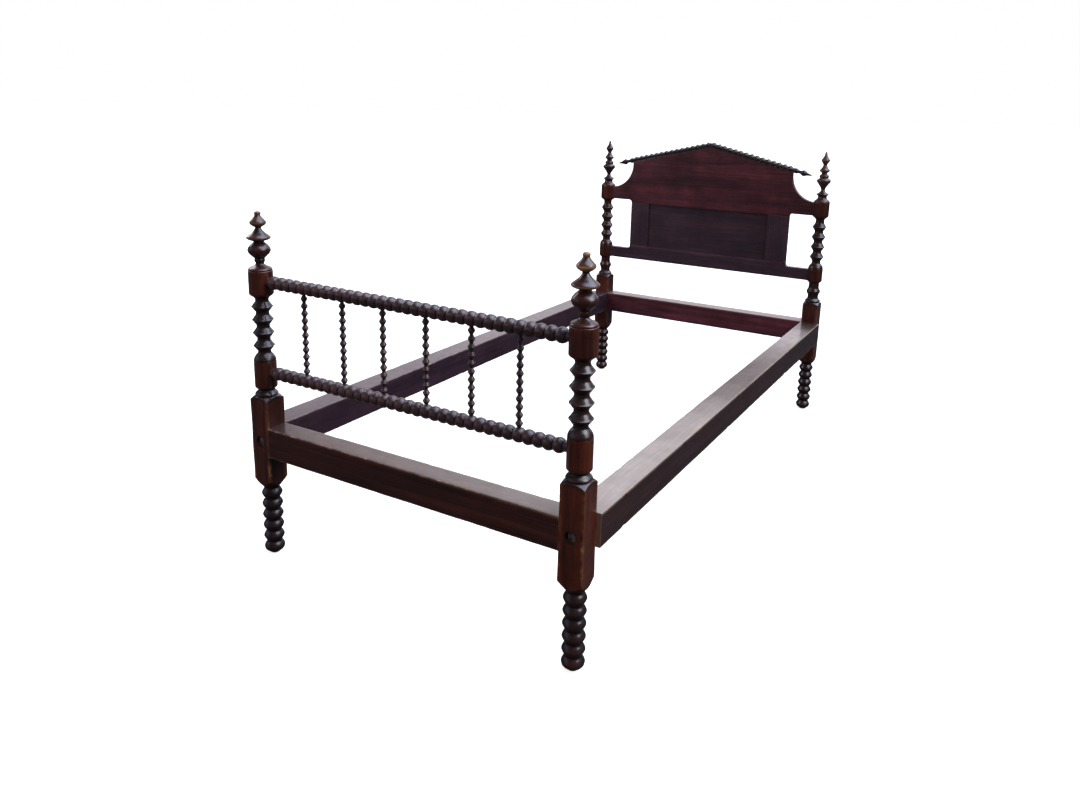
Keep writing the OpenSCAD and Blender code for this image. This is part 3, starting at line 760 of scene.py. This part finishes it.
# the stiles and lower board: a darker, bluer copy of the gable's maroon, painted shade with a
# painted bluish sheen
DUSK = wood("frame_wood", dark=(0.029, 0.0180, 0.0280), warm=(0.092, 0.0430, 0.0680),
            worn=(0.12, 0.06, 0.05), bare=(0.30, 0.2, 0.15), edge_wear=0.15, cloudy=0.55,
            **BOARDS)
# the panel: a darker, bluer copy of the gable's maroon, painted shade with a painted bluish sheen
PANEL = wood("panel_wood", dark=(0.028, 0.0170, 0.0265), warm=(0.088, 0.0410, 0.0610),
             worn=(0.12, 0.06, 0.05), bare=(0.30, 0.2, 0.14), edge_wear=0.15, cloudy=0.55,
             **BOARDS)
IRON = forged_iron("bolt_iron", (0.20, 0.195, 0.20))


# -------- posts and finials

def counterbore(side, end):
    """The sinking for a bed bolt's head in a post's outer face, as a cutter."""
    x, y = side * HALF_X, end * HALF_Y
    outside = y + end * (HALF_B + 3)
    bottom = y + end * (HALF_B - COUNTERBORE_DEPTH)
    return plug_mesh(COUNTERBORE_R, (x, outside, BOLT_Z), (x, bottom, BOLT_Z))


# lists of (height, amount); a finial's heights start at its joint
LEG_STAIN = [(4, 0.25), (14, 0.85), (180, 0.95), (191, 0.6), (204, 0.05), (214, 0.0),
             (424, 0.0), (430, 0.7), (450, 0.9)]
# painted shade: the head posts' legs and blocks darkened to at least 0.30 of the black
HEAD_LEG_STAIN_AND_SHADE = [(height, max(amount, 0.30)) for height, amount in LEG_STAIN]
STAINS_AND_SHADE = {"foot": LEG_STAIN + [(455, 0.7), (461, 0.0), (527, 0.0), (531, 0.9), (560, 0.85),
                               (684, 0.85), (694, 0.1), (758, 0.0)],
          "head": HEAD_LEG_STAIN_AND_SHADE + [(505, 0.6), (519, 0.1), (567, 0.0), (572, 0.6), (600, 0.75),
                                    (755, 0.7), (766, 0.1), (826, 0.0)]}
FINIAL_STAIN = {"foot": [(0, 0.1), (4, 0.3), (10, 0.7), (60, 0.45), (72, 0.6), (84, 0.35),
                         (100, 0.6), (112, 0.4), (120, 0.2), (144, 0.1)],
                "head": [(0, 0.3), (20, 0.75), (150, 0.75), (186, 0.6)]}
FINIAL_BARED = {"foot": [(0, 0), (72.0, 0.0), (74.0, 0.8), (80.5, 0.9), (82.0, 0.0), (106, 0.0),
                         (108, 0.9), (117.5, 1.0), (120.5, 0.1), (134, 0.0), (139, 0.8),
                         (144.5, 0.9)],
                "head": [(0, 0), (186, 0.25)]}
STAIN_FACTOR = {"head_post_left": 0.75}
LEAST_STAIN = {"foot_post_left": 0.22}
LEFT_FINIAL_STAIN, LEFT_FINIAL_BARED, MOST_STAIN = 1.5, 0.35, 0.9
POST_BARED = [(0, 0.9), (3.5, 0.4), (9, 0.0), (826, 0.0)]


def post_stain_and_shade(node, word):
    factor, least = STAIN_FACTOR.get(node, 1.0), LEAST_STAIN.get(node, 0.0)
    return [(height, max(amount * factor, least)) for height, amount in STAINS_AND_SHADE[word]]


def scaled(rows, factor, most):
    return [(height, min(most, amount * factor)) for height, amount in rows]


for end, word, profile, finial, joint_z in (
        (-1, "foot", foot_post_profile(), foot_finial_profile(), FOOT_TOP),
        (1, "head", head_post_profile(), head_finial_profile(), HEAD_TOP)):
    for side, hand in ((-1, "left"), (1, "right")):
        node = f"{word}_post_{hand}"
        mesh = turned(node + "_turned", profile, (side * HALF_X, end * HALF_Y, 0), sides=96,
                      square=BLOCK_SPAN, stain_and_shade=post_stain_and_shade(node, word), bared=POST_BARED)
        post = add_piece(node + "_turned", mesh, POST, "turned_wood", node)
        boolean_cut(post, counterbore(side, end))
        soften(post.data, TURNED_ANGLE)
        node = f"{word}_finial_{hand}"
        darker, cleaner = (1.0, 1.0) if side > 0 else (LEFT_FINIAL_STAIN, LEFT_FINIAL_BARED)
        mesh = turned(node + "_turned", finial, (side * HALF_X, end * HALF_Y, joint_z), sides=80,
                      stain_and_shade=scaled(FINIAL_STAIN[word], darker, MOST_STAIN),
                      bared=scaled(FINIAL_BARED[word], cleaner, 1.0))
        add_piece(node + "_turned", mesh, POST, "turned_wood", node)


# -------- bobbin rails and spindles

def bead(z, pitch, neck, edge):
    """A full round bead; two neighbours meet in a sharp valley."""
    out, steps = [], 14
    for k in range(steps + 1):
        t = 2 * k / steps - 1
        a = math.sin(t * math.pi / 2)
        out.append((neck + (edge - neck) * (1 - a * a) ** 0.82, z + a * pitch / 2))
    return out


def bobbin_profile(name, reach):
    """A row of beads of slightly uneven size and place, between two plain necks."""
    rng = random_for(name + "_beads")
    half = BOBBINS / 2 * BOBBIN_PITCH
    out = [(0, -reach), (BOBBIN_NECK_R, -reach), (BOBBIN_NECK_R, -half - 0.5)]
    for k in range(BOBBINS):
        size = BOBBIN_R - abs(rng.normal(0, 0.22))
        shift = rng.normal(0, 0.25) if 0 < k < BOBBINS - 1 else 0
        out += bead((k - BOBBINS / 2 + 0.5) * BOBBIN_PITCH + shift, BOBBIN_PITCH,
                    BOBBIN_NECK_R, size)[1:]
    return out + [(BOBBIN_NECK_R, reach), (0, reach)]


for node, z, drum_r in (("foot_top_rail", TOP_RAIL_Z, UPPER_DRUM_R),
                        ("foot_lower_rail", LOW_RAIL_Z, LOWER_DRUM_R)):
    mesh = turned(node + "_turned", bobbin_profile(node, HALF_X - drum_r + RAIL_DOWEL),
                  (0, -HALF_Y, z), axis=(1, 0, 0), sides=48)
    add_piece(node + "_turned", mesh, BOBBIN, "bobbin_wood", node)


def spindle_profile(name):
    """Small beads with soft edges, and a pin at each end."""
    rng = random_for(name + "_beads")
    neck = SPINDLE_NECK_R
    low, high = LOW_RAIL_Z + SPINDLE_SEAT, TOP_RAIL_Z - SPINDLE_SEAT
    pitch = (high - low) / SPINDLE_BEADS
    out = [(0, low - SPINDLE_PIN), (neck, low - SPINDLE_PIN), (neck, low)]
    for k in range(SPINDLE_BEADS):
        z = low + (k + 0.5) * pitch + rng.normal(0, 0.15)
        edge = SPINDLE_R - abs(rng.normal(0, 0.18))
        out += catmull([(neck, z - pitch / 2), (4.2, z - 0.42 * pitch), (6.4, z - 0.22 * pitch),
                        (edge - 0.5, z - 0.06 * pitch), (edge, z), (edge - 0.5, z + 0.06 * pitch),
                        (6.4, z + 0.22 * pitch), (4.2, z + 0.42 * pitch), (neck, z + pitch / 2)],
                       0.9)[1:]
    return out + [(neck, high + SPINDLE_PIN), (0, high + SPINDLE_PIN)]


for i in range(SPINDLES):
    node = f"spindle_{i + 1}"
    mesh = turned(node + "_turned", spindle_profile(node),
                  ((i - (SPINDLES - 1) / 2) * SPINDLE_PITCH, -HALF_Y, 0), sides=32, wobble=0.05)
    add_piece(node + "_turned", mesh, BOBBIN, "bobbin_wood", node)


# -------- rails

# how much painted sky reflection each rail's top carries, as a list of (place along it, amount)
RIGHT_SHEEN = [(-921, 0.55), (-840, 0.85), (-300, 0.95), (-60, 0.55), (120, 0.42), (500, 0.40),
              (640, 0.65), (740, 0.70), (830, 0.10), (921, 0.0)]
LEFT_SHEEN = [(-921, 0.10), (-300, 0.05), (300, 0.18), (700, 0.12), (921, 0.0)]
FOOT_SHEEN = [(-421, 0.03), (-250, 0.12), (100, 0.24), (421, 0.45)]
HEAD_SHEEN = [(-421, 0.20), (421, 0.35)]

for node, low, high, along, material, top_sheen in (
        ("foot_end_rail", (-RAIL_IN, -HALF_Y - HALF_B, RAIL_BOTTOM),
         (RAIL_IN, -HALF_Y + HALF_B, RAIL_TOP), 0, RAIL, FOOT_SHEEN),
        ("head_end_rail", (-RAIL_IN, HALF_Y - HALF_B, RAIL_BOTTOM),
         (RAIL_IN, HALF_Y + HALF_B, RAIL_TOP), 0, HEAD, HEAD_SHEEN),
        ("side_rail_left", (-RAIL_OUT, -HALF_Y + HALF_B, RAIL_BOTTOM),
         (-RAIL_IN, HALF_Y - HALF_B, RAIL_TOP), 1, MAUVE, LEFT_SHEEN),
        ("side_rail_right", (RAIL_IN, -HALF_Y + HALF_B, RAIL_BOTTOM),
         (RAIL_OUT, HALF_Y - HALF_B, RAIL_TOP), 1, SIDE, RIGHT_SHEEN)):
    mesh = timber(node + "_timber", low, high, along, top_sheen=top_sheen)
    add_piece(node + "_timber", mesh, material, "rail_wood", node)


# -------- headboard

def arc(cx, cz, radius, start, end, steps):
    """Points on an arc in the XZ plane, between two angles in degrees."""
    return [(cx + radius * math.cos(math.radians(start + (end - start) * k / steps)),
             cz + radius * math.sin(math.radians(start + (end - start) * k / steps)))
            for k in range(steps + 1)]


def mirrored(right):
    """A closed outline from its right half, listed from bottom centre to top centre."""
    left = [(-x, z) for x, z in reversed(right) if abs(x) > 1e-6]
    return right + left


def slope_z(x):
    """The height of the gable's sloping edge, which hides under the trim rod."""
    return RIDGE_Z - TRIM_TUCK / math.cos(SLOPE) - x * math.tan(SLOPE)


gable = [(0, GABLE_BOTTOM), (STILE_IN, GABLE_BOTTOM), (STILE_OUT, GABLE_BOTTOM)]
gable += arc(345.0, GABLE_BOTTOM, 12.0, 180, 90, 6)[1:]
gable += [(430.0, 770.0), (442.5, 770.0), (442.5, 820.0), (430.0, 820.0)]
gable += arc(430.0, 917.0, 97.0, 270, 180, 28)[1:]
gable += [(STILE_OUT, slope_z(STILE_OUT)), (0, slope_z(0))]
mesh = flat_board("gable_board_cut", mirrored(gable), *BOARD_Y)
# painted shade: the gable's top edge, under the trim rod, darkened near black through
# stain_and_shade
spots = np.array([v.co for v in mesh.vertices]) / MM
above_slope = spots[:, 2] - (slope_z(0) - np.abs(spots[:, 0]) * math.tan(SLOPE))
write_attribute(mesh, "stain_and_shade", 0.9 * smooth_step(-5.5, -3.0, above_slope))
add_piece("gable_board_cut", mesh, BOARD, "board_wood", "gable_board")

lower = [(0, 519.0), (444.5, 519.0), (444.5, 563.0), (345.0, 563.0)]
lower += arc(345.0, 575.0, 12.0, 270, 180, 6)[1:]
lower += [(STILE_OUT, LOWER_BOARD_TOP), (STILE_IN, LOWER_BOARD_TOP), (0, LOWER_BOARD_TOP)]
mesh = flat_board("lower_board_cut", mirrored(lower), *BOARD_Y)
add_piece("lower_board_cut", mesh, DUSK, "board_wood", "lower_board")

for side, hand in ((-1, "left"), (1, "right")):
    near, far = sorted((side * STILE_IN, side * STILE_OUT))
    mesh = timber(f"stile_{hand}_timber", (near, BOARD_Y[0], LOWER_BOARD_TOP),
                  (far, BOARD_Y[1], GABLE_BOTTOM), 2, chips=0.2, round_mm=0.8)
    add_piece(f"stile_{hand}_timber", mesh, DUSK, "board_wood", f"stile_{hand}")
panel_x = STILE_IN + PANEL_GROOVE
mesh = timber("headboard_panel_timber", (-panel_x, PANEL_Y[0], LOWER_BOARD_TOP - PANEL_GROOVE),
              (panel_x, PANEL_Y[1], GABLE_BOTTOM + PANEL_GROOVE), 0, chips=0.0, round_mm=0.5)
add_piece("headboard_panel_timber", mesh, PANEL, "board_wood", "headboard_panel")


# -------- gable trim

def trim_profile(name):
    """Rings up to the end of the slope, then a neck and a pointed drop."""
    rng = random_for(name + "_rings")
    neck = TRIM_NECK_R
    out = [(0, -30), (neck, -30), (neck, 0)]
    for k in range(TRIM_RINGS):
        z = (k + 0.5) * TRIM_PITCH + rng.normal(0, 0.2)
        edge = TRIM_R - abs(rng.normal(0, 0.2))
        out += catmull([(neck, z - 11.4), (8.3, z - 9.6), (10.6, z - 5.6), (edge - 1.1, z - 1.8),
                        (edge, z), (edge - 1.1, z + 1.8), (10.6, z + 5.6), (8.3, z + 9.6),
                        (neck, z + 11.4)], 1.0)[1:]
    end = TRIM_RINGS * TRIM_PITCH
    out += catmull([(neck, end), (8.2, end + 2.0), (9.8, end + 6.8), (10.4, end + 11.4),
                    (9.4, end + 15.0), (6.8, end + 20.0), (6.2, end + 26.0), (7.0, end + 31.0),
                    (10.8, end + 38.0), (11.6, end + 42.0), (10.2, end + 46.0),
                    (5.8, end + 56.0), (3.8, end + 64.0), (2.2, end + 72.5)], 1.0)[1:]
    return out + [(0, end + 73.2)]


for side, hand in ((-1, "left"), (1, "right")):
    node = f"gable_trim_{hand}"
    downhill = Vector((math.cos(SLOPE) * side, 0, -math.sin(SLOPE)))
    ridge = (0, HALF_Y, RIDGE_Z)
    mesh = turned(node + "_turned", trim_profile(node), ridge, axis=downhill, sides=48,
                  wobble=0.06, cut=(ridge, (-side, 0, 0)))
    add_piece(node + "_turned", mesh, TRIM, "bobbin_wood", node)


# -------- iron

for name, node in NODES.items():
    if name.startswith(("bed_bolt", "bolt_nut")):
        if not node.material_slots:
            node.data.materials.append(IRON)
        for slot in node.material_slots:
            slot.material = IRON


# -------- stage, light and camera

FLOOR = 90.0                           # half its side, in metres

floor_mesh = bpy.data.meshes.new("floor")
floor_mesh.from_pydata([(-FLOOR, -FLOOR, 0), (FLOOR, -FLOOR, 0), (FLOOR, FLOOR, 0),
                        (-FLOOR, FLOOR, 0)], [], [(0, 1, 2, 3)])
floor = bpy.data.objects.new("floor", floor_mesh)
bpy.context.scene.collection.objects.link(floor)
paper = Shader("floor_paper")
paper.bsdf.inputs["Base Color"].default_value = (0.5, 0.5, 0.5, 1)
paper.bsdf.inputs["Roughness"].default_value = 0.95
paper.bsdf.inputs["Emission Color"].default_value = (1.0, 1.0, 1.0, 1)
spread = paper.node("ShaderNodeVectorMath", [paper.node("ShaderNodeTexCoord", out="Object")],
                    out="Value", operation="LENGTH")
paper.put(paper.bsdf.inputs["Emission Strength"], paper.ramp(spread, 1.5, 4.5, 0.80, 1.0))
dim = paper.tree.nodes.new("ShaderNodeBsdfDiffuse")
dim.inputs["Color"].default_value = (0.035, 0.033, 0.033, 1)
seen = paper.node("ShaderNodeLightPath", out="Is Camera Ray")
blend = paper.tree.nodes.new("ShaderNodeMixShader")
paper.put(blend.inputs[0], seen)
paper.put(blend.inputs[1], dim.outputs[0])
paper.put(blend.inputs[2], paper.bsdf.outputs[0])
paper.put(paper.tree.nodes["Material Output"].inputs["Surface"], blend.outputs[0])
floor_mesh.materials.append(paper.material)


class Sky(Shader):
    def __init__(self, name):
        self.world = bpy.data.worlds.new(name)
        self.world.use_nodes = True
        self.tree = self.world.node_tree
        self.background = self.tree.nodes["Background"]

    def toward(self, direction, low, high):
        """0 to 1 as the view turns towards a direction."""
        place = self.node("ShaderNodeTexCoord", out="Generated")
        dot = self.node("ShaderNodeVectorMath", [place, tuple(Vector(direction).normalized())],
                        out="Value", operation="DOT_PRODUCT")
        return self.node("ShaderNodeMapRange", {"Value": dot, "From Min": low, "From Max": high},
                         interpolation_type="SMOOTHSTEP")


sky = Sky("studio")
light_map = sky.mix(sky.toward((0, 0, 1), -0.05, 0.55), (0.012, 0.011, 0.012, 1),
                    (0.05, 0.06, 0.08, 1))
above = sky.toward((0.34, 0.28, 0.90), 0.74, 0.95)
light_map = sky.mix(above, light_map, (4.0, 4.7, 6.1, 1))
front_left = sky.math("MULTIPLY", sky.toward((-0.80, -0.60, 0.12), 0.78, 0.98),
                      sky.toward((0, 0, 1), 0.0, 0.10))
light_map = sky.mix(front_left, light_map, (0.46, 0.54, 0.70, 1))
behind = sky.math("MULTIPLY", sky.toward((-0.30, 0.92, 0.22), 0.72, 0.97),
                  sky.toward((0, 0, 1), 0.0, 0.10))
light_map = sky.mix(behind, light_map, (1.15, 1.05, 1.12, 1))
seen = sky.node("ShaderNodeLightPath", out="Is Camera Ray")
light_map = sky.mix(seen, light_map, (1.0, 1.0, 1.0, 1))
sky.put(sky.background.inputs["Color"], light_map)
bpy.context.scene.world = sky.world


def area_light(name, place, target, size, power, colour):
    """A rectangular light at a place, aimed at a target; metres and watts."""
    data = bpy.data.lights.new(name, "AREA")
    data.shape = "RECTANGLE"
    data.size, data.size_y = size
    data.energy = power
    data.color = colour
    lamp = bpy.data.objects.new(name, data)
    lamp.location = place
    lamp.rotation_euler = (Vector(target) - Vector(place)).to_track_quat("-Z", "Y").to_euler()
    bpy.context.scene.collection.objects.link(lamp)
    return lamp


area_light("key", (3.6, -0.6, 3.0), (0, 0, 0.5), (2.4, 2.4), 100, (1.0, 0.91, 0.80))
fill = area_light("fill", (-1.8, -4.4, 2.3), (0, 0, 0.5), (4.0, 2.6), 98, (1.0, 0.88, 0.77))
fill.visible_glossy = False
area_light("head", (-1.7, -0.5, 1.7), (0.0, 0.95, 0.7), (1.0, 1.0), 14, (1.0, 0.88, 0.90))

camera_data = bpy.data.cameras.new("camera")
camera = bpy.data.objects.new("camera", camera_data)
bpy.context.scene.collection.objects.link(camera)
bpy.context.scene.camera = camera
YAW, PITCH, ROLL = math.radians(30.19), math.radians(13.20), math.radians(1.36)
forward = Vector((-math.sin(YAW) * math.cos(PITCH), math.cos(YAW) * math.cos(PITCH),
                  -math.sin(PITCH)))
level = Vector((math.cos(YAW), math.sin(YAW), 0))
upright = level.cross(forward)
right = level * math.cos(ROLL) + upright * math.sin(ROLL)
up = upright * math.cos(ROLL) - level * math.sin(ROLL)
camera.matrix_world = Matrix.Translation((1.197, -2.377, 1.189)) @ Matrix(
    (right, up, -forward)).transposed().to_4x4()
camera_data.sensor_width = 36.0
camera_data.lens = 28.64
camera_data.shift_x = -0.0072
camera_data.shift_y = -0.0994
camera_data.clip_end = 60

bpy.context.scene.view_settings.view_transform = "Standard"
